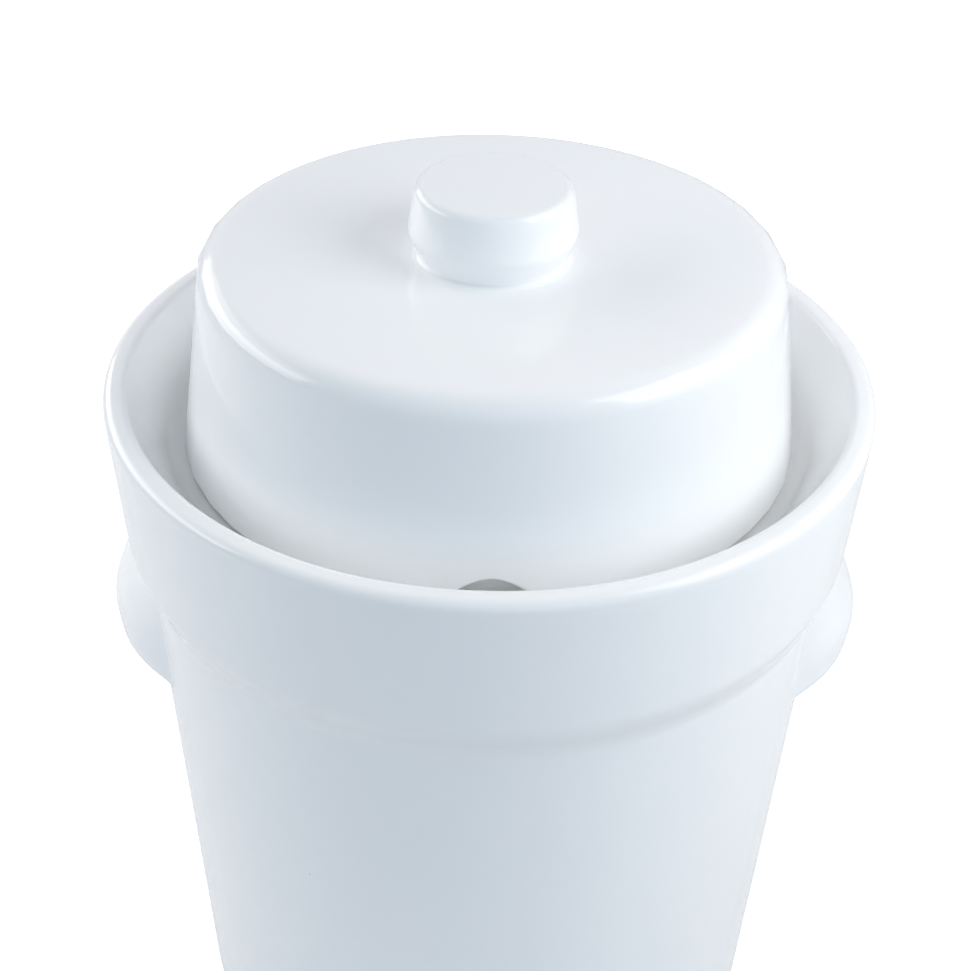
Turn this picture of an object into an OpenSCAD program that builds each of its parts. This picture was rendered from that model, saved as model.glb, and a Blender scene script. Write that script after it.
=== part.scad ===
// Water-sealed fermentation crock: a tapered tub, a gutter ring luted on top of it,
// two lugs, a lid that stands in the gutter, the lid's knob and two half-round weights.
// Millimetres. The crock stands on z = 0, its axis is Z and its lugs lie on X.

/* [Rim and gutter] */
// Height of the rim's top above the table
rim_height = 238; // [215:1:300]
// Outside radius of the rim
rim_radius = 112; // [100:0.5:140]
// Width of the rounded lip between the gutter and the outside
lip_width = 6.5; // [4:0.5:9]
// Depth of the gutter below the rim
gutter_depth = 20.5; // [14:0.5:28]
// How far the gutter's outer wall leans out between its floor and the lip
gutter_flare = 12.2; // [6:0.1:18]
// Radius of the corner between the gutter's floor and its outer wall
gutter_corner = 6; // [2:0.5:9]
// Thickness of the shelf under the gutter
shelf = 9; // [6:0.5:14]
// Wall of the neck that the lid goes over
neck_wall = 7; // [5:0.5:10]
// Height of the neck's edge above the rim
neck_rise = 4; // [0:0.5:10]
// Radius of the corner between the neck and the gutter's floor
neck_corner = 4; // [1:0.5:5]
// Radius that eases the mouth's lower edge
mouth_ease = 4; // [1:0.5:5]
// Height of the collar, from the rim down to the step
collar_height = 51; // [42:0.5:70]
// Radius that the collar loses between the rim and the step
collar_taper = 3; // [0:0.1:6]
// How far the collar stands proud of the tub at the step
collar_step = 4.2; // [3:0.1:7]
// Radius of the collar's lower edge
collar_edge = 2; // [0.5:0.1:2.2]
// Thickness of the slip that lutes one piece to the next
slip = 0.15; // [0.1:0.05:0.4]

/* [Tub] */
// Radius that the tub loses between the step and the table
tub_taper = 8.2; // [0:0.1:20]
// Thickness of the tub's wall
tub_wall = 8.5; // [6:0.5:12]
// Thickness of the tub's floor
tub_floor = 10; // [7:0.5:16]
// Radius of the corner between the floor and the wall, inside
floor_corner = 10; // [4:0.5:16]
// Radius of the outer corner at the table
foot_edge = 5; // [2:0.5:8]
// Width of the bare ring that the crock stands on
foot_ring = 9; // [6:0.5:14]
// Height of the hollow inside the foot ring
foot_hollow = 2.5; // [1.5:0.5:5]

/* [Lid] */
// Height of the lid from its lower edge to its top
lid_height = 58.8; // [50:0.1:75]
// Radius that the lid loses from its lower edge to its top
lid_taper = 8.2; // [0:0.1:12]
// How far the lid's top sinks towards the knob
lid_dish = 3; // [0:0.1:4]
// Thickness of the lid
lid_wall = 6.5; // [6:0.5:9]
// Radius of the lid's top edge
lid_edge = 7; // [3:0.5:10]
// Radius of the lid's two lower edges
lid_hem = 2; // [1:0.5:3]
// Room in the gutter between the lid and the outer corner
lid_play = 3; // [2:0.1:8]
// Room in the gutter between the lid and the neck
neck_play = 4; // [3:0.1:10]
// Gap under the lid's lower edge
lid_seat = 0.3; // [0.2:0.1:0.6]
// Radius of the two half-round notches that let gas out
notch_radius = 9.7; // [6:0.1:12]
// Turn of the lid about its axis, in degrees
lid_turn = 1; // [-180:1:180]

/* [Lid knob] */
// Radius of the knob's widest part, before it is rounded
knob_radius = 24; // [18:0.1:32]
// Height of the knob above its foot
knob_height = 21.5; // [18:0.1:30]
// Radius that the knob loses from its widest part to its top
knob_taper = 2.3; // [0:0.1:3.4]
// Radius of the knob's top edge
knob_edge = 2.6; // [1:0.1:4]
// Radius that rounds the knob's widest part
knob_hem = 5; // [2:0.1:8]
// How far the neck lies inside the widest part
knob_undercut = 2.9; // [2:0.1:5]
// Height from the neck up to the widest part
knob_flank = 7.3; // [5:0.1:9]
// Height of the neck above the lid
knob_neck = 1; // [0.8:0.1:3]
// How far the luted foot flares over the lid
knob_spread = 5.2; // [3:0.1:9]
// Thickness of the flare's edge
foot_lip = 0.4; // [0.3:0.1:1]

/* [Lugs] */
// Width of a lug across the tub
lug_width = 84; // [50:1:110]
// Height of a lug below the collar
lug_height = 43.5; // [39:0.5:70]
// How far a lug stands out from the tub
lug_depth = 14.9; // [10:0.1:24]
// How far it stands out where it comes from under the collar
lug_shoulder = 2.7; // [2:0.1:8]
// Height over which it swells to its full depth
lug_swell = 28.5; // [10:0.5:32]
// Radius that rounds the swell
lug_crown = 20; // [6:0.5:30]
// How much it draws in again at its lower edge
lug_draw = 1; // [0:0.1:3]
// Radius of its lower edge
lug_hem = 5; // [1:0.5:6]
// How far the lower edge lifts towards its ends
lug_lift = 3; // [0:0.5:12]
// Thickness left outside the finger hollow
lug_wall = 6; // [4:0.5:9]
// Height of the finger hollow under a lug
hollow_height = 18; // [8:0.5:22]

/* [Weights] */
// Thickness of a weight
weight_height = 16; // [10:0.5:24]
// Radius of a weight's edges
weight_edge = 3; // [1:0.5:4]
// Room between the weights and the corner of the floor
weight_play = 1; // [0.5:0.5:20]
// Gap between the two weights
weight_split = 4; // [1:0.5:12]
// Gap under a weight
weight_seat = 0.3; // [0.2:0.1:0.6]
// Radius of the finger notch in a weight's straight side
finger_radius = 13; // [8:0.5:22]

/* [Hidden] */

$fn = 96;
// Straight steps in one rounded corner
corner_steps = 8;
// Stations across one lug
lug_stations = 20;
// Share of its depth that a lug or its hollow keeps at its two ends
thin_end = 0.04;
// Overrun of a cut past the face that it opens
overrun = 1;
// Share of a wall that the rounding of its edge takes on either side
edge_share = 0.47;
glaze = [0.93, 0.95, 0.97];
bare_clay = [0.90, 0.88, 0.84];

// Heights
step_z = rim_height - collar_height;
gutter_z = rim_height - gutter_depth;
tub_top_z = gutter_z - shelf;
neck_z = rim_height + neck_rise;
lid_z = gutter_z + lid_seat;
lid_top_z = lid_z + lid_height;
knob_z = lid_top_z - lid_dish;
lug_top_z = step_z - slip;
lug_bottom_z = lug_top_z - lug_height;

// Radii, from the rim inwards
lip_inner = rim_radius - lip_width;
gutter_radius = lip_inner - gutter_flare;
lid_radius = gutter_radius - lid_play;
neck_radius = lid_radius - lid_wall - neck_play;
mouth_radius = neck_radius - neck_wall;
collar_radius = rim_radius - collar_taper;
shoulder_radius = collar_radius - collar_step;
foot_radius = shoulder_radius - tub_taper;
knob_waist = knob_radius - knob_undercut;
knob_foot = knob_waist + knob_spread;
ring_inner = foot_radius - foot_edge - foot_ring;
weight_radius = tub_radius(tub_floor) - tub_wall - floor_corner - weight_play + weight_edge;

// Outside radius of the tub, and of the lid, at a height
function tub_radius(z) = foot_radius + tub_taper * z / step_z;
function lid_side(z) = lid_radius - lid_taper * (z - lid_z) / lid_height;

// Points of the arc that rounds one corner of an outline
function unit(v) = v / norm(v);
function corner_arc(before, corner, after, radius) =
    let (
        back = unit(before - corner),
        on = unit(after - corner),
        half = acos(back * on) / 2,
        centre = corner + unit(back + on) * radius / sin(half),
        first = corner + back * radius / tan(half) - centre,
        turn = sign(cross(-back, on)) * (180 - 2 * half),
        start = atan2(first.y, first.x)
    )
    [for (k = [0:corner_steps]) centre + radius * [
        cos(start + turn * k / corner_steps),
        sin(start + turn * k / corner_steps)
    ]];

// An outline of [radius, height, rounding] points with its corners rounded
function flat(p) = [p[0], p[1]];
function rounded(points) = let (n = len(points)) [
    for (i = [0:n - 1])
        let (before = points[(i + n - 1) % n], corner = points[i], after = points[(i + 1) % n])
        each corner[2] == 0
            ? [flat(corner)]
            : corner_arc(flat(before), flat(corner), flat(after), corner[2])
];

module turned(points) {
    rotate_extrude() polygon(rounded(points));
}

// Tapered tub with a hollowed foot
module tub() {
    ring_ease = foot_hollow * edge_share;
    color(glaze) turned([
        [0, foot_hollow, 0],
        [ring_inner, foot_hollow, ring_ease],
        [ring_inner, 0, ring_ease],
        [foot_radius, 0, foot_edge],
        [tub_radius(tub_top_z), tub_top_z, 0],
        [tub_radius(tub_top_z) - tub_wall, tub_top_z, 0],
        [tub_radius(tub_floor) - tub_wall, tub_floor, floor_corner],
        [0, tub_floor, 0]
    ]);
}

// Shelf, neck, gutter and collar in one ring, which sits on the tub's edge
module gutter_ring() {
    lip_ease = lip_width * edge_share;
    neck_ease = neck_wall * edge_share;
    color(glaze) turned([
        [mouth_radius, tub_top_z, mouth_ease],
        [tub_radius(tub_top_z) + slip, tub_top_z, 0],
        [tub_radius(step_z) + slip, step_z, 0],
        [collar_radius, step_z, collar_edge],
        [rim_radius, rim_height, lip_ease],
        [lip_inner, rim_height, lip_ease],
        [gutter_radius, gutter_z, gutter_corner],
        [neck_radius, gutter_z, neck_corner],
        [neck_radius, neck_z, neck_ease],
        [mouth_radius, neck_z, neck_ease]
    ]);
}

// Section of a lug as [depth from the tub, height], from its lower to its upper edge
lug_section = rounded([
    [0, lug_bottom_z, 0],
    [lug_depth - lug_draw, lug_bottom_z, lug_hem],
    [lug_depth, lug_top_z - lug_swell, lug_crown],
    [lug_shoulder, lug_top_z, 0],
    [0, lug_top_z, 0]
]);
lug_half_angle = asin(lug_width / 2 / tub_radius(lug_bottom_z));

// Section of the hollow under a lug, which runs past the lug's back and lower edge
hollow_depth = lug_depth - lug_wall;
hollow_section = rounded([
    [-overrun, lug_bottom_z - overrun, 0],
    [hollow_depth, lug_bottom_z - overrun, 0],
    [hollow_depth, lug_bottom_z + hollow_height, hollow_depth / 2],
    [-overrun, lug_bottom_z + hollow_height, 0]
]);
hollow_half_angle = lug_half_angle * sqrt(1 - lug_wall / lug_depth);

// Share of its full depth at an angle from the middle, falling to nothing at the ends
function swelling(angle, half_angle) = max(thin_end, 1 - pow(angle / half_angle, 2));
// Share of the lug's height at an angle from the middle
function lug_lifting(angle) = 1 - lug_lift / lug_height * pow(angle / lug_half_angle, 2);

// A point of a section set against the tub at an angle from the lug's middle
function on_tub(depth, z, angle) =
    let (radius = tub_radius(z) + slip + depth)
    [radius * cos(angle), radius * sin(angle), z];
function lug_ring(angle) = [
    for (p = lug_section)
        let (z = lug_top_z - (lug_top_z - p.y) * lug_lifting(angle))
        on_tub(p.x * swelling(angle, lug_half_angle), z, angle)
];
function hollow_ring(angle) = [
    for (p = hollow_section)
        on_tub(p.x > 0 ? p.x * swelling(angle, hollow_half_angle) : p.x, p.y, angle)
];
function stations(half_angle) = [
    for (i = [0:lug_stations]) half_angle * (2 * i / lug_stations - 1)
];

// Solid through rings of points, all with as many points
module loft(rings) {
    count = len(rings[0]);
    last = len(rings) - 1;
    sides = [
        for (i = [0:last - 1], j = [0:count - 1])
            let (a = i * count + j, b = i * count + (j + 1) % count)
            each [[a, b, a + count], [b, b + count, a + count]]
    ];
    first_end = [for (j = [count - 1:-1:0]) j];
    last_end = [for (j = [0:count - 1]) last * count + j];
    polyhedron([for (ring = rings) each ring], concat(sides, [first_end, last_end]));
}

// Ear under the collar, hollowed from below for the fingers
module lug() {
    difference() {
        loft([for (angle = stations(lug_half_angle)) lug_ring(angle)]);
        loft([for (angle = stations(hollow_half_angle)) hollow_ring(angle)]);
    }
}

module left_lug() {
    color(glaze) rotate([0, 0, 180]) lug();
}

module right_lug() {
    color(glaze) lug();
}

// Flaring cap that stands in the gutter, a little sunk on top, with a notch at the front and the back
module lid_cap() {
    ceiling_z = lid_top_z - lid_wall;
    color(glaze) difference() {
        turned([
            [lid_radius - lid_wall, lid_z, lid_hem],
            [lid_radius, lid_z, lid_hem],
            [lid_side(lid_top_z), lid_top_z, lid_edge],
            [knob_foot, knob_z, 0],
            [0, knob_z, 0],
            [0, knob_z - lid_wall, 0],
            [knob_foot, knob_z - lid_wall, 0],
            [lid_side(ceiling_z) - lid_wall, ceiling_z, lid_edge]
        ]);
        translate([0, 0, lid_z]) rotate([90, 0, lid_turn])
            cylinder(r = notch_radius, h = 2 * lid_radius + 2 * overrun, center = true);
    }
}

// Turned knob, drawn in below its widest part to a neck, with a luted foot that flares over the lid
module lid_knob() {
    waist_z = knob_z + knob_neck;
    flare = [
        for (k = [0:corner_steps])
            let (angle = 90 * (1 - k / corner_steps))
            [knob_foot - knob_spread * cos(angle), waist_z - (knob_neck - foot_lip) * sin(angle), 0]
    ];
    color(glaze) turned(concat(
        [[0, knob_z, 0], [knob_foot, knob_z, 0]],
        flare,
        [
            [knob_radius, waist_z + knob_flank, knob_hem],
            [knob_radius - knob_taper, knob_z + knob_height, knob_edge],
            [0, knob_z + knob_height, 0]
        ]
    ));
}

// Half-round weight on the +X side, with eased edges and half of the finger hole
module weight() {
    low = tub_floor + weight_seat;
    high = low + weight_height;
    reach = weight_radius + overrun;
    difference() {
        intersection() {
            turned([
                [0, low, 0],
                [weight_radius, low, weight_edge],
                [weight_radius, high, weight_edge],
                [0, high, 0]
            ]);
            rotate([90, 0, 0]) linear_extrude(height = 2 * reach, center = true) polygon(rounded([
                [weight_split / 2, low, weight_edge],
                [reach, low, 0],
                [reach, high, 0],
                [weight_split / 2, high, weight_edge]
            ]));
        }
        translate([0, 0, low - overrun]) cylinder(r = finger_radius, h = weight_height + 2 * overrun);
    }
}

module left_weight() {
    color(bare_clay) rotate([0, 0, 180]) weight();
}

module right_weight() {
    color(bare_clay) weight();
}

tub();
gutter_ring();
left_lug();
right_lug();
lid_cap();
lid_knob();
left_weight();
right_weight();
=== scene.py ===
import math

import bmesh
import bpy
import numpy as np
from mathutils import Matrix, Vector, noise


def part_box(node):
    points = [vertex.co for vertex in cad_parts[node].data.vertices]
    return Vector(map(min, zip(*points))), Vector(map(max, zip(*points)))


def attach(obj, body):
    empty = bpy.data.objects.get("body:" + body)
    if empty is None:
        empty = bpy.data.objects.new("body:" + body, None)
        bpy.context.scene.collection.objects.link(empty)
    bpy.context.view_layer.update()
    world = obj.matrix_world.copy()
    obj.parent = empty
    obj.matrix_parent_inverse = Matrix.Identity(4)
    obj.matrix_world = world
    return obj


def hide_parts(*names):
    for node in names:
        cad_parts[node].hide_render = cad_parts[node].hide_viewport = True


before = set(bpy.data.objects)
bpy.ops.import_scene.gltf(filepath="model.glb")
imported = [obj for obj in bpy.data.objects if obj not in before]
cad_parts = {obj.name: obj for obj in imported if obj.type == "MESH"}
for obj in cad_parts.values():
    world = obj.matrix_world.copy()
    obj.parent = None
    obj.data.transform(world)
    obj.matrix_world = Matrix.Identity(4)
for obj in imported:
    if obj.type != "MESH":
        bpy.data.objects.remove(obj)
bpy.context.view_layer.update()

# Looks of a water-sealed fermentation crock: each solid gets a fired and glazed skin.
# Metres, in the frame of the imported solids: the crock stands on z = 0 and its lugs lie on X.
MM = 0.001

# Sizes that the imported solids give
tub_low, tub_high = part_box("tub")
ring_low, ring_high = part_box("gutter_ring")
lug_low, lug_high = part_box("right_lug")
cap_low, cap_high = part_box("lid_cap")
knob_low, knob_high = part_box("lid_knob")
weight_low, weight_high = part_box("right_weight")

# Rim and gutter
NECK_RISE = 4 * MM
RIM_Z = ring_high.z - NECK_RISE
RIM_RADIUS = ring_high.x
LIP_WIDTH = 6.5 * MM
LIP_EASE = 3 * MM
GUTTER_DEPTH = 20.5 * MM
GUTTER_Z = RIM_Z - GUTTER_DEPTH
GUTTER_RADIUS = 93.3 * MM
GUTTER_CORNER = 6 * MM
NECK_RADIUS = 79.8 * MM
NECK_CORNER = 4 * MM
NECK_EASE = 3.2 * MM
MOUTH_RADIUS = 72.8 * MM
MOUTH_EASE = 4 * MM
STEP_Z = ring_low.z
COLLAR_RADIUS = 109 * MM
# The soft step under the collar: its reach below and above, its lap over the tub and its hidden tail
COLLAR_FALL = 8 * MM
COLLAR_SOFT = 8 * MM
COLLAR_LAP = 0.03 * MM
COLLAR_TAIL = 0.3 * MM
COLLAR_START_Z = STEP_Z - COLLAR_FALL

# Tub
FOOT_RADIUS = 96.6 * MM
FOOT_EDGE = 5 * MM
FOOT_RING = 9 * MM
FOOT_HOLLOW = 2.5 * MM
FOOT_EASE = 1.2 * MM
TUB_WALL = 8.5 * MM
TUB_FLOOR = 10 * MM
FLOOR_CORNER = 10 * MM
TUB_SLOPE = (tub_high.x - FOOT_RADIUS) / tub_high.z

# Lid
CAP_Z = cap_low.z
CAP_TOP_Z = cap_high.z
CAP_RADIUS = 90.3 * MM
CAP_DRAW = 8.2 * MM
CAP_SLOPE = -CAP_DRAW / (CAP_TOP_Z - CAP_Z)
CAP_WALL = 6.5 * MM
CAP_EDGE = 7 * MM
CAP_HEM = 1.8 * MM
CAP_DISH_EASE = 40 * MM
SKIRT_RADIUS = CAP_RADIUS - CAP_WALL / 2
NOTCH_RADIUS = 9.7 * MM
NOTCH_EASE = 0.8 * MM
NOTCH_BEARING = math.radians(-89)

# Knob on the lid
KNOB_RADIUS = 24 * MM
KNOB_TOP_RADIUS = 21.7 * MM
KNOB_UNDERCUT = 2.9 * MM
KNOB_NECK = KNOB_RADIUS - KNOB_UNDERCUT
KNOB_NECK_HEIGHT = 1 * MM
KNOB_WAIST_Z = knob_low.z + KNOB_NECK_HEIGHT
KNOB_FLANK = 7.3 * MM
KNOB_SPREAD = 5.2 * MM
KNOB_FOOT = KNOB_NECK + KNOB_SPREAD
KNOB_EDGE = 2.6 * MM
KNOB_HEM = 5 * MM

# Lugs
LUG_TOP_Z = lug_high.z
LUG_BOTTOM_Z = lug_low.z
LUG_HALF_WIDTH = 42 * MM
LUG_HALF_ANGLE = math.asin(LUG_HALF_WIDTH / (FOOT_RADIUS + TUB_SLOPE * LUG_BOTTOM_Z))
LUG_END_REACH = 1.1
LUG_END_ANGLE = LUG_HALF_ANGLE * LUG_END_REACH
LUG_DEPTH = 14.9 * MM
LUG_SHOULDER = 2.7 * MM
LUG_SWELL = 28.5 * MM
LUG_CROWN = 20 * MM
LUG_DRAW = 1 * MM
LUG_HEM = 5 * MM
LUG_LIFT = 3 * MM
LUG_WALL = 6 * MM
HOLLOW_HEIGHT = 18 * MM
LUG_ROOT = 4 * MM
LUG_RUN_OUT = 9 * MM
LUG_RUN_OUT_POWER = 2.4

# Weights
WEIGHT_RADIUS = weight_high.x
WEIGHT_SPLIT = weight_low.x
WEIGHT_EDGE = 2.5 * MM
FINGER_RADIUS = 13 * MM

# How finely curves and long runs are stepped
ARC_STEP = math.radians(7.5)
RUN_STEP = 4 * MM
LID_STEP = 3 * MM
FINE_STEP = 2 * MM
TURN_STEPS = 224
LUG_STATIONS = 88
OGEE_STEPS = 24
RUN_OUT_STEPS = 9
FLARE_STEPS = 12
ARCH_STEPS = 32
SKIRT_STEPS = 36
WEIGHT_STEPS = 72
FINGER_STEPS = 20
EDGE_STEPS = 5
# How far one piece is let into another where they are luted
LET_IN = 0.35 * MM
# Depth and spacing of the unevenness that drying and firing leave
UNEVEN_DEPTH = 0.22 * MM
UNEVEN_PER_METRE = 17
# Bend, in radians per metre, at which glaze is fully thin or fully pooled
FULL_BEND = 130
# Radii and heights closer than this are the same
NEARLY = MM / 100


# Outlines

def corner_arc(before, corner, after, radius):
    """Points of the arc that rounds one corner of an outline."""
    back = (before - corner).normalized()
    on = (after - corner).normalized()
    half = back.angle(on) / 2
    centre = corner + (back + on).normalized() * radius / math.sin(half)
    first = corner + back * radius / math.tan(half) - centre
    turn = math.copysign(math.pi - 2 * half, (-back).cross(on))
    steps = max(2, math.ceil(abs(turn) / ARC_STEP))
    return [centre + Matrix.Rotation(turn * k / steps, 2) @ first for k in range(steps + 1)]


def rounded(corners):
    """Points of an outline of (radius, height, rounding) corners, with each rounding as an arc."""
    flat = [Vector(corner[:2]) for corner in corners]
    points = []
    for i, corner in enumerate(corners):
        if corner[2]:
            points += corner_arc(flat[i - 1], flat[i], flat[(i + 1) % len(flat)], corner[2])
        else:
            points.append(flat[i])
    return points


def stepped(points, longest=RUN_STEP):
    """The same outline with its long straight runs cut into short ones."""
    result = [points[0]]
    for start, end in zip(points, points[1:]):
        pieces = max(1, math.ceil((end - start).length / longest))
        result += [start.lerp(end, k / pieces) for k in range(1, pieces + 1)]
    return result


# Meshes

def skin(rings, joined=False):
    """A mesh over rings of points: a lone point is a pole, and joined ties the last ring to the first."""
    mesh = bmesh.new()
    rows = [[mesh.verts.new(point) for point in ring] for ring in rings]
    pairs = list(zip(rows, rows[1:]))
    if joined:
        pairs.append((rows[-1], rows[0]))
    for low, high in pairs:
        for i in range(max(len(low), len(high))):
            j = i + 1
            corners = (low[i % len(low)], low[j % len(low)], high[j % len(high)], high[i % len(high)])
            mesh.faces.new(dict.fromkeys(corners))
    bmesh.ops.recalc_face_normals(mesh, faces=mesh.faces)
    return mesh


def turned(points, bearings, joined=False):
    """An outline turned about the crock's axis, with a column of points at each bearing."""
    rings = []
    for radius, height in points:
        if radius < NEARLY:
            rings.append([(0, 0, height)])
        else:
            rings.append([(radius * math.cos(b), radius * math.sin(b), height) for b in bearings])
    return skin(rings, joined)


def unevened(mesh, field):
    """Lets the surface sink in by a little here and there, and never stand out of the solid."""
    mesh.normal_update()
    sunk = []
    for vert in mesh.verts:
        share = 0.5 + 0.5 * noise.noise(vert.co * UNEVEN_PER_METRE + field)
        sunk.append(vert.co - vert.normal * UNEVEN_DEPTH * share)
    for vert, place in zip(mesh.verts, sunk):
        vert.co = place
    return mesh


def mark_bends(mesh):
    """Stores where a surface bulges (edge) and where it is hollowed (nook): glaze thins there, and pools in
    hollows, which are also painted lighter.
    """
    count = len(mesh.vertices)
    places = np.empty(count * 3)
    mesh.vertices.foreach_get("co", places)
    places = places.reshape(-1, 3)
    normals = np.empty(count * 3, dtype=np.float32)
    mesh.vertex_normals.foreach_get("vector", normals)
    normals = normals.reshape(-1, 3)
    ends = np.empty(len(mesh.edges) * 2, dtype=np.int32)
    mesh.edges.foreach_get("vertices", ends)
    first, second = ends.reshape(-1, 2).T
    along = places[second] - places[first]
    least_square = 1e-12
    turn = ((normals[second] - normals[first]) * along).sum(axis=1)
    bend = turn / np.maximum((along ** 2).sum(axis=1), least_square)
    total = np.bincount(first, bend, count) + np.bincount(second, bend, count)
    meeting = np.bincount(first, minlength=count) + np.bincount(second, minlength=count)
    share = total / np.maximum(meeting, 1)
    for name, sign in (("edge", 1), ("nook", -1)):
        layer = mesh.attributes.new(name, "FLOAT", "POINT")
        layer.data.foreach_set("value", np.clip(sign * share / FULL_BEND, 0, 1).astype(np.float32))


def dress(mesh, name, node, body, material):
    """Makes a finished skin an object, in place of its solid and riding on its body."""
    data = bpy.data.meshes.new(name)
    mesh.to_mesh(data)
    mesh.free()
    data.polygons.foreach_set("use_smooth", [True] * len(data.polygons))
    mark_bends(data)
    data.materials.append(material)
    piece = bpy.data.objects.new(name, data)
    bpy.context.scene.collection.objects.link(piece)
    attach(piece, body)
    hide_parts(node)


# Pieces of the crock

EVEN_BEARINGS = [math.tau * k / TURN_STEPS for k in range(TURN_STEPS)]
CROCK_FIELD = Vector((3.1, 7.7, 1.3))
LID_FIELD = Vector((11.9, 2.3, 5.1))


def tub_radius(z):
    """Outside radius of the tub at a height."""
    return FOOT_RADIUS + TUB_SLOPE * z


def tub_skin():
    """The tapered tub, with its bare foot ring and its rounded floor inside."""
    ring_inner = FOOT_RADIUS - FOOT_EDGE - FOOT_RING
    points = rounded([
        (0, FOOT_HOLLOW, 0),
        (ring_inner, FOOT_HOLLOW, FOOT_EASE),
        (ring_inner, 0, FOOT_EASE),
        (FOOT_RADIUS, 0, FOOT_EDGE),
        (tub_high.x, tub_high.z, 0),
        (tub_high.x - TUB_WALL, tub_high.z, 0),
        (tub_radius(TUB_FLOOR) - TUB_WALL, TUB_FLOOR, FLOOR_CORNER),
        (0, TUB_FLOOR, 0),
    ])
    return unevened(turned(stepped(points), EVEN_BEARINGS), CROCK_FIELD)


def collar_radius(z):
    """Outside radius of the collar at a height."""
    return COLLAR_RADIUS + (RIM_RADIUS - COLLAR_RADIUS) * (z - STEP_Z) / (RIM_Z - STEP_Z)


def collar_ogee():
    """Points of the soft step from the tub out to the collar, where slip was smoothed over the edge."""
    points = []
    for k in range(OGEE_STEPS + 1):
        share = k / OGEE_STEPS
        z = COLLAR_START_Z + (COLLAR_FALL + COLLAR_SOFT) * share
        out = share * share * (3 - 2 * share)
        points.append(((tub_radius(z) + COLLAR_LAP) * (1 - out) + collar_radius(z) * out, z, 0))
    return points


def mark_painted_collar_shade(mesh, inside):
    """Stores where the glaze is darkened as painted shade in the band under the collar, and keeps the lap's
    lower edge crisp.
    """
    painted_collar_shade = mesh.verts.layers.float.new("painted_collar_shade")
    on_lap = set()
    for vert in mesh.verts:
        if vert.co.xy.length <= inside:
            continue
        away = abs(vert.co.z - STEP_Z) / COLLAR_FALL
        if away < 1:
            vert[painted_collar_shade] = (1 - away ** 2) ** 2
        if abs(vert.co.z - COLLAR_START_Z) < NEARLY:
            on_lap.add(vert)
    for edge in mesh.edges:
        if on_lap.issuperset(edge.verts):
            edge.smooth = False


def gutter_ring_skin():
    """Shelf, neck, gutter and collar, with the collar's lower edge drawn softly onto the tub."""
    tail_z = COLLAR_START_Z - COLLAR_TAIL
    hidden = tub_high.x - TUB_WALL / 2
    points = rounded([
        (MOUTH_RADIUS, tub_high.z, MOUTH_EASE),
        (hidden, tub_high.z, 0),
        (hidden, tail_z, 0),
        (tub_radius(tail_z) - LET_IN, tail_z, 0),
        *collar_ogee(),
        (RIM_RADIUS, RIM_Z, LIP_EASE),
        (RIM_RADIUS - LIP_WIDTH, RIM_Z, LIP_EASE),
        (GUTTER_RADIUS, GUTTER_Z, GUTTER_CORNER),
        (NECK_RADIUS, GUTTER_Z, NECK_CORNER),
        (NECK_RADIUS, ring_high.z, NECK_EASE),
        (MOUTH_RADIUS, ring_high.z, NECK_EASE),
    ])
    mesh = turned(stepped(points + points[:1])[:-1], EVEN_BEARINGS, joined=True)
    mark_painted_collar_shade(mesh, hidden + MM)
    return unevened(mesh, CROCK_FIELD)


def swelling(angle, half_angle, softness):
    """Share of its full depth at an angle from the middle, running out softly past the ends."""
    share = 1 - (angle / half_angle) ** 2
    return (share + math.hypot(share, softness)) / 2


def lug_section(angle):
    """Points of one closed section through a lug, as (depth from the tub, height)."""
    end_softness = 0.07
    hollow_softness = 0.1
    lift = 1 - LUG_LIFT / (LUG_TOP_Z - LUG_BOTTOM_Z) * (angle / LUG_HALF_ANGLE) ** 2
    rest = swelling(LUG_END_ANGLE, LUG_HALF_ANGLE, end_softness)
    out = (swelling(angle, LUG_HALF_ANGLE, end_softness) - rest) / (1 - rest)
    hollow_depth = LUG_DEPTH - LUG_WALL
    hollow_angle = LUG_HALF_ANGLE * math.sqrt(hollow_depth / LUG_DEPTH)
    bore = swelling(angle, hollow_angle, hollow_softness)
    bore -= swelling(LUG_END_ANGLE, hollow_angle, hollow_softness)
    top = LUG_TOP_Z + LUG_ROOT
    face = rounded([
        (0, top, 0),
        (LUG_SHOULDER - LUG_ROOT / 2, top, 0),
        (LUG_DEPTH, LUG_TOP_Z - LUG_SWELL, LUG_CROWN),
        (LUG_DEPTH - LUG_DRAW, LUG_BOTTOM_Z, LUG_HEM),
        (hollow_depth + LUG_DRAW, LUG_BOTTOM_Z, 0),
    ])
    hollow = rounded([
        (hollow_depth, LUG_BOTTOM_Z, 0),
        (hollow_depth, LUG_BOTTOM_Z + HOLLOW_HEIGHT, hollow_depth / 2),
        (0, LUG_BOTTOM_Z + HOLLOW_HEIGHT, 0),
    ])
    closing = max(0, 1 - hollow_depth * bore / LET_IN) ** 2
    under = (hollow_depth + LUG_DRAW) * out
    section = [(depth * out - LET_IN, z) for depth, z in stepped(face, FINE_STEP)]
    for k in range(1, RUN_OUT_STEPS + 1):
        fillet = under * (1 - k / RUN_OUT_STEPS) ** LUG_RUN_OUT_POWER
        fillet_z = LUG_BOTTOM_Z - LUG_RUN_OUT * closing * k / RUN_OUT_STEPS
        section.append((max(hollow_depth * bore, fillet) - LET_IN, fillet_z))
    section += [(depth * bore - LET_IN, z) for depth, z in stepped(hollow, FINE_STEP)]
    return [(depth, LUG_TOP_Z - (LUG_TOP_Z - z) * lift) for depth, z in section]


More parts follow.
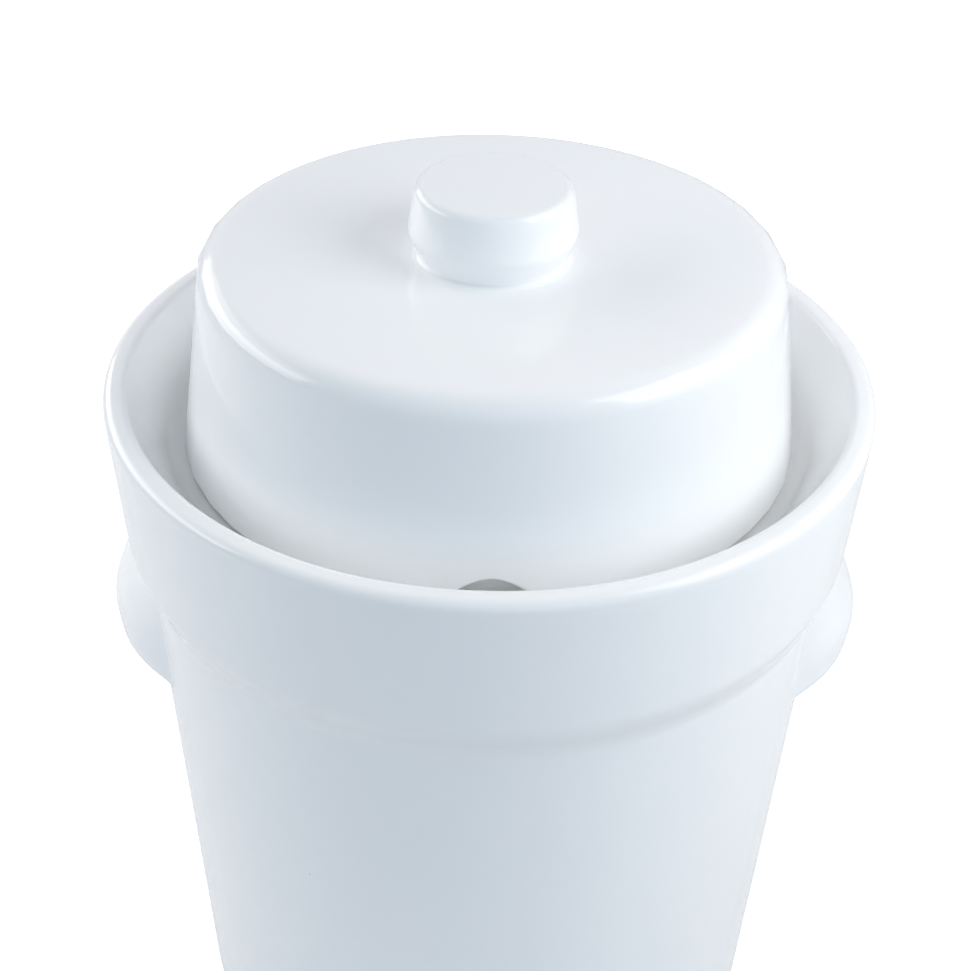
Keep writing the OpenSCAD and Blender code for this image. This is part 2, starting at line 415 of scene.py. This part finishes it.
def lug_skin(middle):
    """An ear luted under the collar and hollowed from below, with its middle at a bearing."""
    back = TUB_WALL / 2
    rings = []
    for k in range(LUG_STATIONS + 1):
        angle = LUG_END_ANGLE * (2 * k / LUG_STATIONS - 1)
        section = lug_section(angle)
        section = [(-back, section[0][1])] + section + [(-back, section[-1][1])]
        ring = []
        for depth, z in section:
            radius = tub_radius(z) + depth
            ring.append((radius * math.cos(middle + angle), radius * math.sin(middle + angle), z))
        rings.append(ring)
    first, last = ([sum(map(Vector, ring), Vector()) / len(ring)] for ring in (rings[0], rings[-1]))
    return unevened(skin([first] + rings + [last]), CROCK_FIELD)


def cap_radius(z):
    """Outside radius of the lid at a height."""
    return CAP_RADIUS + CAP_SLOPE * (z - CAP_Z)


def skirt_bearings():
    """Bearings of the lid's columns, close together where its lower edge runs up round a notch."""
    first_room = 0.5 * MM
    quarter = SKIRT_RADIUS * math.pi / 2
    arch = [2 * NOTCH_RADIUS * math.cos(math.pi * k / ARCH_STEPS) for k in range(ARCH_STEPS + 1)]
    flats = []
    for room in np.geomspace(first_room, quarter - NOTCH_RADIUS, SKIRT_STEPS):
        place = NOTCH_RADIUS + room
        flats.append(place + NOTCH_RADIUS ** 2 / place)
    half = [-place for place in reversed(flats)] + arch[::-1] + flats
    offsets = [place / SKIRT_RADIUS for place in half if abs(place) < flats[-1]]
    offsets.append(quarter / SKIRT_RADIUS)
    return [NOTCH_BEARING + turn + offset for turn in (0, math.pi) for offset in offsets]


def notched(mesh):
    """Draws the skirt's lower edge up and over the two half-round notches, as water runs round a post."""
    reach = 6 * NOTCH_RADIUS
    within = 0.8 * SKIRT_RADIUS
    for vert in mesh.verts:
        radius = math.hypot(vert.co.x, vert.co.y)
        if radius < within:
            continue
        bearing = math.atan2(vert.co.y, vert.co.x)
        aside = (bearing - NOTCH_BEARING + math.pi / 2) % math.pi - math.pi / 2
        here = complex(aside * SKIRT_RADIUS, vert.co.z - CAP_Z + NOTCH_EASE)
        away = abs(here) / reach
        if away >= 1:
            continue
        spread = np.sqrt(here - 2 * NOTCH_RADIUS) * np.sqrt(here + 2 * NOTCH_RADIUS)
        shift = ((here + spread) / 2 - here) * (1 - away ** 2) ** 2
        bearing += shift.real / SKIRT_RADIUS
        radius += CAP_SLOPE * shift.imag
        vert.co = (radius * math.cos(bearing), radius * math.sin(bearing), vert.co.z + shift.imag)
    return mesh


def lid_cap_skin():
    """The flaring cap, a little sunk on top, with a notch in its lower edge at the front and the back."""
    ceiling_z = CAP_TOP_Z - CAP_WALL
    points = rounded([
        (0, knob_low.z, 0),
        (KNOB_FOOT, knob_low.z, CAP_DISH_EASE),
        (cap_radius(CAP_TOP_Z), CAP_TOP_Z, CAP_EDGE),
        (CAP_RADIUS, CAP_Z, CAP_HEM),
        (CAP_RADIUS - CAP_WALL, CAP_Z, CAP_HEM),
        (cap_radius(ceiling_z) - CAP_WALL, ceiling_z, CAP_EDGE),
        (KNOB_FOOT, knob_low.z - CAP_WALL, CAP_DISH_EASE),
        (0, knob_low.z - CAP_WALL, 0),
    ])
    return unevened(notched(turned(stepped(points, LID_STEP), skirt_bearings())), LID_FIELD)


def lid_knob_skin():
    """The turned knob, whose foot flares out and dies into the lid."""
    low_z = knob_low.z - LET_IN
    flare = [(0, low_z, 0)]
    for k in range(FLARE_STEPS + 1):
        angle = math.pi / 2 * (1 - k / FLARE_STEPS)
        height = KNOB_WAIST_Z - (KNOB_WAIST_Z - low_z) * math.sin(angle)
        flare.append((KNOB_FOOT - KNOB_SPREAD * math.cos(angle), height, 0))
    points = rounded(flare + [
        (KNOB_RADIUS, KNOB_WAIST_Z + KNOB_FLANK, KNOB_HEM),
        (KNOB_TOP_RADIUS, knob_high.z, KNOB_EDGE),
        (0, knob_high.z, 0),
    ])
    return unevened(turned(stepped(points, FINE_STEP), EVEN_BEARINGS), LID_FIELD)


def weight_skin(facing):
    """A half-round weight with eased edges and half of a finger hole, on the side that facing gives."""
    start = math.acos(WEIGHT_SPLIT / WEIGHT_RADIUS)
    hole = math.acos(WEIGHT_SPLIT / FINGER_RADIUS)
    rim = [(WEIGHT_RADIUS, -start + 2 * start * k / WEIGHT_STEPS) for k in range(WEIGHT_STEPS + 1)]
    notch = [(FINGER_RADIUS, hole - 2 * hole * k / FINGER_STEPS) for k in range(FINGER_STEPS + 1)]
    mesh = bmesh.new()
    outline = [
        mesh.verts.new((facing * radius * math.cos(turn), facing * radius * math.sin(turn), weight_low.z))
        for radius, turn in rim + notch
    ]
    base = mesh.faces.new(outline)
    raised = bmesh.ops.extrude_face_region(mesh, geom=[base])
    upper = [part for part in raised["geom"] if isinstance(part, bmesh.types.BMVert)]
    bmesh.ops.translate(mesh, verts=upper, vec=(0, 0, weight_high.z - weight_low.z))
    bmesh.ops.recalc_face_normals(mesh, faces=mesh.faces)
    least_turn = math.radians(30)
    sharp = [edge for edge in mesh.edges if edge.calc_face_angle(0) > least_turn]
    bmesh.ops.bevel(mesh, geom=sharp, offset=WEIGHT_EDGE, segments=EDGE_STEPS, profile=0.5, affect="EDGES")
    return mesh


# Materials

def add(tree, kind, **settings):
    """A new node with its settings."""
    made = tree.nodes.new(kind)
    for key, value in settings.items():
        setattr(made, key, value)
    return made


def noise_of(tree, place, scale, detail):
    """Noise of a given fineness, in waves per metre, at an object's own points."""
    made = add(tree, "ShaderNodeTexNoise")
    made.inputs["Scale"].default_value = scale
    made.inputs["Detail"].default_value = detail
    tree.links.new(place, made.inputs["Vector"])
    return made.outputs["Fac"]


def spread_of(tree, value, low, high, to_low=0.0, to_high=1.0):
    """A value mapped from one range to another and held there."""
    made = add(tree, "ShaderNodeMapRange")
    for name, number in (("From Min", low), ("From Max", high), ("To Min", to_low), ("To Max", to_high)):
        made.inputs[name].default_value = number
    tree.links.new(value, made.inputs["Value"])
    return made.outputs["Result"]


def feed(tree, socket, value):
    """Links another socket to this one, or sets it to a number or a colour."""
    if isinstance(value, bpy.types.NodeSocket):
        tree.links.new(value, socket)
    else:
        socket.default_value = value


def sum_of(tree, operation, first, second):
    """A sum, product or the like of two values, each a socket or a number."""
    made = add(tree, "ShaderNodeMath", operation=operation)
    feed(tree, made.inputs[0], first)
    feed(tree, made.inputs[1], second)
    return made.outputs["Value"]


def blend_of(tree, share, first, second):
    """A colour between two colours."""
    made = add(tree, "ShaderNodeMix", data_type="RGBA")
    # The colour sockets of this node come after those for numbers and vectors
    factor, start, end = (made.inputs[k] for k in (0, 6, 7))
    feed(tree, factor, share)
    feed(tree, start, first)
    feed(tree, end, second)
    return made.outputs[2]


def dots_of(tree, place, scale, size, channel, chance):
    """Scattered dots, sharp at the first distance of size and gone at the second, in a few of many cells."""
    cells = add(tree, "ShaderNodeTexVoronoi")
    cells.inputs["Scale"].default_value = scale
    tree.links.new(place, cells.inputs["Vector"])
    draws = add(tree, "ShaderNodeSeparateColor")
    tree.links.new(cells.outputs["Color"], draws.inputs["Color"])
    dot = spread_of(tree, cells.outputs["Distance"], *size, to_low=1.0, to_high=0.0)
    return sum_of(tree, "MULTIPLY", dot, spread_of(tree, draws.outputs[channel], *chance))


def mark_of(tree, name):
    """A mark that is stored at a mesh's points."""
    return add(tree, "ShaderNodeAttribute", attribute_name=name).outputs["Fac"]


def start_group(name, inputs, outputs):
    """An empty node group with named sockets."""
    tree = bpy.data.node_groups.new(name, "ShaderNodeTree")
    for label, kind in inputs:
        tree.interface.new_socket(label, in_out="INPUT", socket_type=kind)
    for label, kind in outputs:
        tree.interface.new_socket(label, in_out="OUTPUT", socket_type=kind)
    return tree, add(tree, "NodeGroupInput").outputs, add(tree, "NodeGroupOutput").inputs


COLOUR = "NodeSocketColor"
NUMBER = "NodeSocketFloat"
WHITE = (1, 1, 1, 1)


def glaze_group():
    """Fired glaze: cloudy, thin on edges, pooled in nooks and painted lighter there, darkened by painted
    shade under the collar, rippled and lightly specked.
    """
    tree, given, result = start_group(
        "fired_glaze",
        [(label, COLOUR) for label in ("Glaze", "Cloud", "Thin", "Pooled_painted_light", "Painted_shade_under_collar", "Speck")],
        [("Colour", COLOUR), ("Roughness", NUMBER), ("Height", NUMBER)],
    )
    place = add(tree, "ShaderNodeTexCoord").outputs["Object"]
    clouds = spread_of(tree, noise_of(tree, place, scale=14, detail=3.0), low=0.35, high=0.68)
    speck = dots_of(tree, place, scale=62, size=(0.016, 0.026), channel=0, chance=(0.94, 0.96))
    broken = spread_of(tree, noise_of(tree, place, scale=90, detail=3.0), low=0.3, high=0.7, to_low=0.4)
    colour = blend_of(tree, clouds, given["Glaze"], given["Cloud"])
    thin = sum_of(tree, "MULTIPLY", mark_of(tree, "edge"), broken)
    colour = blend_of(tree, thin, colour, given["Thin"])
    # Pooled glaze in hollows; the crock's pooled colour is also painted lighter to lift the shade there
    colour = blend_of(tree, mark_of(tree, "nook"), colour, given["Pooled_painted_light"])
    # Painted shade: the band under the collar's step is darkened in colour
    colour = blend_of(tree, mark_of(tree, "painted_collar_shade"), colour, given["Painted_shade_under_collar"])
    colour = blend_of(tree, speck, colour, given["Speck"])
    tree.links.new(colour, result["Colour"])
    satin = noise_of(tree, place, scale=38, detail=2.0)
    rough = spread_of(tree, satin, low=0.3, high=0.7, to_low=0.08, to_high=0.14)
    speck_roughness = sum_of(tree, "MULTIPLY", speck, 0.2)
    tree.links.new(sum_of(tree, "ADD", rough, speck_roughness), result["Roughness"])
    ripple = noise_of(tree, place, scale=130, detail=1.0)
    peel = sum_of(tree, "MULTIPLY", noise_of(tree, place, scale=520, detail=1.0), 0.12)
    pits = sum_of(tree, "MULTIPLY", speck, 0.3)
    height = sum_of(tree, "SUBTRACT", sum_of(tree, "ADD", ripple, peel), pits)
    tree.links.new(height, result["Height"])
    return tree


def clay_group():
    """Bare fired clay: mottled, grogged and dry."""
    tree, given, result = start_group(
        "bare_clay",
        [("Clay", COLOUR), ("Mottle", COLOUR), ("Grog", COLOUR)],
        [("Colour", COLOUR), ("Roughness", NUMBER), ("Height", NUMBER)],
    )
    place = add(tree, "ShaderNodeTexCoord").outputs["Object"]
    mottle = spread_of(tree, noise_of(tree, place, scale=60, detail=5.0), low=0.35, high=0.7)
    grog = dots_of(tree, place, scale=420, size=(0.16, 0.28), channel=1, chance=(0.6, 0.75))
    colour = blend_of(tree, mottle, given["Clay"], given["Mottle"])
    tree.links.new(blend_of(tree, grog, colour, given["Grog"]), result["Colour"])
    rough = spread_of(tree, mottle, low=0.0, high=1.0, to_low=0.62, to_high=0.8)
    tree.links.new(rough, result["Roughness"])
    grain = noise_of(tree, place, scale=700, detail=4.0)
    raised = sum_of(tree, "MULTIPLY", grog, 0.25)
    tree.links.new(sum_of(tree, "ADD", grain, raised), result["Height"])
    return tree


FIRED_GLAZE = glaze_group()
BARE_CLAY = clay_group()


def placed(tree, group, colours):
    """A node group set into a material with its own colours."""
    made = add(tree, "ShaderNodeGroup", node_tree=group)
    for label, colour in colours.items():
        made.inputs[label].default_value = (*colour, 1)
    return made.outputs


CLAY_COLOURS = {"Clay": (0.72, 0.66, 0.56), "Mottle": (0.64, 0.57, 0.47), "Grog": (0.4, 0.34, 0.27)}
# How deep the surfaces are rippled and grained
RIPPLE_DEPTH = 0.03 * MM
GRAIN_DEPTH = 0.12 * MM
# The line where glaze was wiped off: how far it strays and how soft it is, and how much drier the clay is
WIPE_STRAY = 0.5 * MM
WIPE_SOFT = 0.3 * MM
DRYNESS = 0.6


def start_material(name):
    """A new material with its shader."""
    material = bpy.data.materials.new(name)
    material.use_nodes = True
    tree = material.node_tree
    return material, tree, tree.nodes["Principled BSDF"]


def raise_surface(tree, shader, height, depth):
    """Lets a height that varies over the surface bend its normals."""
    bump = add(tree, "ShaderNodeBump")
    bump.inputs["Strength"].default_value = 1.0
    bump.inputs["Distance"].default_value = depth
    tree.links.new(height, bump.inputs["Height"])
    tree.links.new(bump.outputs["Normal"], shader.inputs["Normal"])


def glazed(name, colours, bare_below):
    """Glaze that is wiped off below a height, where the piece stands on its bare clay."""
    material, tree, shader = start_material(name)
    glaze = placed(tree, FIRED_GLAZE, colours)
    clay = placed(tree, BARE_CLAY, CLAY_COLOURS)
    place = add(tree, "ShaderNodeTexCoord").outputs["Object"]
    height = add(tree, "ShaderNodeSeparateXYZ")
    tree.links.new(place, height.inputs["Vector"])
    stray = sum_of(tree, "MULTIPLY", noise_of(tree, place, scale=160, detail=2.0), WIPE_STRAY)
    level = sum_of(tree, "ADD", height.outputs["Z"], stray)
    bare = spread_of(tree, level, bare_below, bare_below + WIPE_SOFT, to_low=1.0, to_high=0.0)
    tree.links.new(blend_of(tree, bare, glaze["Colour"], clay["Colour"]), shader.inputs["Base Color"])
    dry = sum_of(tree, "MULTIPLY", bare, DRYNESS)
    tree.links.new(sum_of(tree, "ADD", glaze["Roughness"], dry), shader.inputs["Roughness"])
    raise_surface(tree, shader, glaze["Height"], RIPPLE_DEPTH)
    return material


def bare_stoneware():
    """Unglazed stoneware of the weights."""
    material, tree, shader = start_material("bare_stoneware")
    clay = placed(tree, BARE_CLAY, CLAY_COLOURS)
    tree.links.new(clay["Colour"], shader.inputs["Base Color"])
    tree.links.new(clay["Roughness"], shader.inputs["Roughness"])
    raise_surface(tree, shader, clay["Height"], GRAIN_DEPTH)
    return material


WHITE_GLAZE = glazed("white_glaze", {
    "Glaze": (0.955, 0.957, 0.958),
    "Cloud": (0.944, 0.95, 0.954),
    "Thin": (0.957, 0.955, 0.948),
    # Lighter than the glaze: pooled glaze, and painted light that lifts the shade in the gutter and other
    # hollows
    "Pooled_painted_light": (0.97, 0.964, 0.945),
    # Darker than the glaze: painted shade in the band under the collar
    "Painted_shade_under_collar": (0.922, 0.926, 0.93),
    "Speck": (0.68, 0.66, 0.63),
}, bare_below=0.9 * MM)
LID_GLAZE = glazed("lid_glaze", {
    "Glaze": (0.955, 0.957, 0.957),
    "Cloud": (0.945, 0.951, 0.955),
    "Thin": (0.957, 0.955, 0.948),
    "Pooled_painted_light": (0.955, 0.956, 0.95),
    # No painted shade on the lid: the same as the glaze
    "Painted_shade_under_collar": (0.955, 0.957, 0.957),
    "Speck": (0.7, 0.68, 0.65),
}, bare_below=CAP_Z + 0.5 * MM)
STONEWARE = bare_stoneware()

dress(tub_skin(), "glazed_tub", "tub", "crock", WHITE_GLAZE)
dress(gutter_ring_skin(), "glazed_gutter_ring", "gutter_ring", "crock", WHITE_GLAZE)
dress(lug_skin(0), "glazed_right_lug", "right_lug", "crock", WHITE_GLAZE)
dress(lug_skin(math.pi), "glazed_left_lug", "left_lug", "crock", WHITE_GLAZE)
dress(lid_cap_skin(), "glazed_lid_cap", "lid_cap", "lid", LID_GLAZE)
dress(lid_knob_skin(), "glazed_lid_knob", "lid_knob", "lid", LID_GLAZE)
dress(weight_skin(1), "fired_right_weight", "right_weight", "right_weight", STONEWARE)
dress(weight_skin(-1), "fired_left_weight", "left_weight", "left_weight", STONEWARE)


# Camera, at the photograph's viewing angle

FRAME_HEIGHT_PX = 971
FOCAL_PX = 1641.5
SENSOR = 36
CAMERA_PLACE = Vector((-0.74 * MM, -413.16 * MM, RIM_Z + 247.79 * MM))
CAMERA_PITCH = math.radians(35.23)
CAMERA_ROLL = math.radians(1.3)
NEAREST_SEEN = 10 * MM


def place_camera():
    """A camera that looks down over the rim."""
    data = bpy.data.cameras.new("camera")
    data.sensor_fit = "VERTICAL"
    data.sensor_height = SENSOR
    data.lens = FOCAL_PX * SENSOR / FRAME_HEIGHT_PX
    data.clip_start = NEAREST_SEEN
    camera = bpy.data.objects.new("camera", data)
    turn = Matrix.Rotation(math.pi / 2 - CAMERA_PITCH, 4, "X") @ Matrix.Rotation(CAMERA_ROLL, 4, "Z")
    camera.matrix_world = Matrix.Translation(CAMERA_PLACE) @ turn
    bpy.context.scene.collection.objects.link(camera)
    bpy.context.scene.camera = camera


# Floor and light

# How much the floor glows to the camera, and the floor and the room in mirrored and clear surfaces
FLOOR_GLOW = 0.65
MIRRORED_GLOW = 0.1
FLOOR_HALF_WIDTH = 4.0
FLOOR_WHITE = 0.8
FLOOR_ROUGHNESS = 0.7
# How sharply the room's light gathers toward each of its sides
SIDE_FALLOFF = 2.0


def pale_floor():
    """A plain white floor that keeps the crock's shadow."""
    half = FLOOR_HALF_WIDTH
    corners = ((-half, -half), (half, -half), (half, half), (-half, half))
    mesh = bmesh.new()
    mesh.faces.new([mesh.verts.new((x, y, 0)) for x, y in corners])
    data = bpy.data.meshes.new("floor")
    mesh.to_mesh(data)
    mesh.free()
    material, tree, shader = start_material("pale_floor")
    shader.inputs["Base Color"].default_value = (FLOOR_WHITE, FLOOR_WHITE, FLOOR_WHITE, 1)
    shader.inputs["Roughness"].default_value = FLOOR_ROUGHNESS
    shader.inputs["Emission Color"].default_value = WHITE
    rays = add(tree, "ShaderNodeLightPath").outputs
    mirrored = sum_of(tree, "MAXIMUM", rays["Is Glossy Ray"], rays["Is Transmission Ray"])
    to_camera = sum_of(tree, "MULTIPLY", rays["Is Camera Ray"], FLOOR_GLOW)
    to_mirrors = sum_of(tree, "MULTIPLY", mirrored, MIRRORED_GLOW)
    tree.links.new(sum_of(tree, "ADD", to_camera, to_mirrors), shader.inputs["Emission Strength"])
    data.materials.append(material)
    floor = bpy.data.objects.new("floor", data)
    bpy.context.scene.collection.objects.link(floor)


def softbox(name, bearing, rise, distance, width, height, strength):
    """A soft lamp aimed at the lid, from a bearing about the crock and a rise above the rim."""
    data = bpy.data.lights.new(name, "AREA")
    data.shape = "RECTANGLE"
    data.size = width
    data.size_y = height
    data.energy = strength * math.pi * width * height
    lamp = bpy.data.objects.new(name, data)
    turn, lift = math.radians(bearing), math.radians(rise)
    away = Vector((math.cos(lift) * math.cos(turn), math.cos(lift) * math.sin(turn), math.sin(lift)))
    lamp.location = Vector((0, 0, RIM_Z)) + away * distance
    lamp.rotation_euler = (-away).to_track_quat("-Z", "Y").to_euler()
    bpy.context.scene.collection.objects.link(lamp)


def studio_world(sides):
    """A pale room whose light comes softly from its sides, each with its own colour."""
    world = bpy.data.worlds.new("studio")
    world.use_nodes = True
    tree = world.node_tree
    place = add(tree, "ShaderNodeTexCoord").outputs["Generated"]
    total = None
    for axis, colour in sides:
        facing = add(tree, "ShaderNodeVectorMath", operation="DOT_PRODUCT")
        facing.inputs[1].default_value = axis
        tree.links.new(place, facing.inputs[0])
        toward = sum_of(tree, "MAXIMUM", facing.outputs["Value"], 0.0)
        share = sum_of(tree, "POWER", toward, SIDE_FALLOFF)
        part = add(tree, "ShaderNodeVectorMath", operation="SCALE")
        part.inputs[0].default_value = colour
        tree.links.new(share, part.inputs["Scale"])
        if total is None:
            total = part.outputs["Vector"]
        else:
            joined = add(tree, "ShaderNodeVectorMath", operation="ADD")
            tree.links.new(total, joined.inputs[0])
            tree.links.new(part.outputs["Vector"], joined.inputs[1])
            total = joined.outputs["Vector"]
    rays = add(tree, "ShaderNodeLightPath").outputs
    mirrored = sum_of(tree, "MAXIMUM", rays["Is Glossy Ray"], rays["Is Transmission Ray"])
    shown = blend_of(tree, sum_of(tree, "MULTIPLY", mirrored, MIRRORED_GLOW), total, WHITE)
    shown = blend_of(tree, rays["Is Camera Ray"], shown, WHITE)
    tree.links.new(shown, tree.nodes["Background"].inputs["Color"])
    bpy.context.scene.world = world


place_camera()
pale_floor()
studio_world([
    ((0, -1, 0), (0.57, 0.76, 0.95)),
    ((0, 1, 0), (0.72, 0.72, 0.82)),
    ((0, 0, 1), (0.5, 0.52, 0.53)),
])
softbox("near_right", bearing=-21, rise=36, distance=0.5, width=0.35, height=0.35, strength=2.85)
softbox("low_right", bearing=-22, rise=16, distance=0.55, width=0.45, height=0.35, strength=1.12)
softbox("rim_right", bearing=20, rise=25, distance=0.8, width=0.5, height=0.5, strength=0.62)
softbox("strip_left", bearing=162, rise=28, distance=0.8, width=1.2, height=0.3, strength=1.4)
softbox("low_left", bearing=165, rise=17, distance=0.75, width=1.1, height=0.3, strength=2.4)

bpy.context.scene.view_settings.view_transform = "Standard"
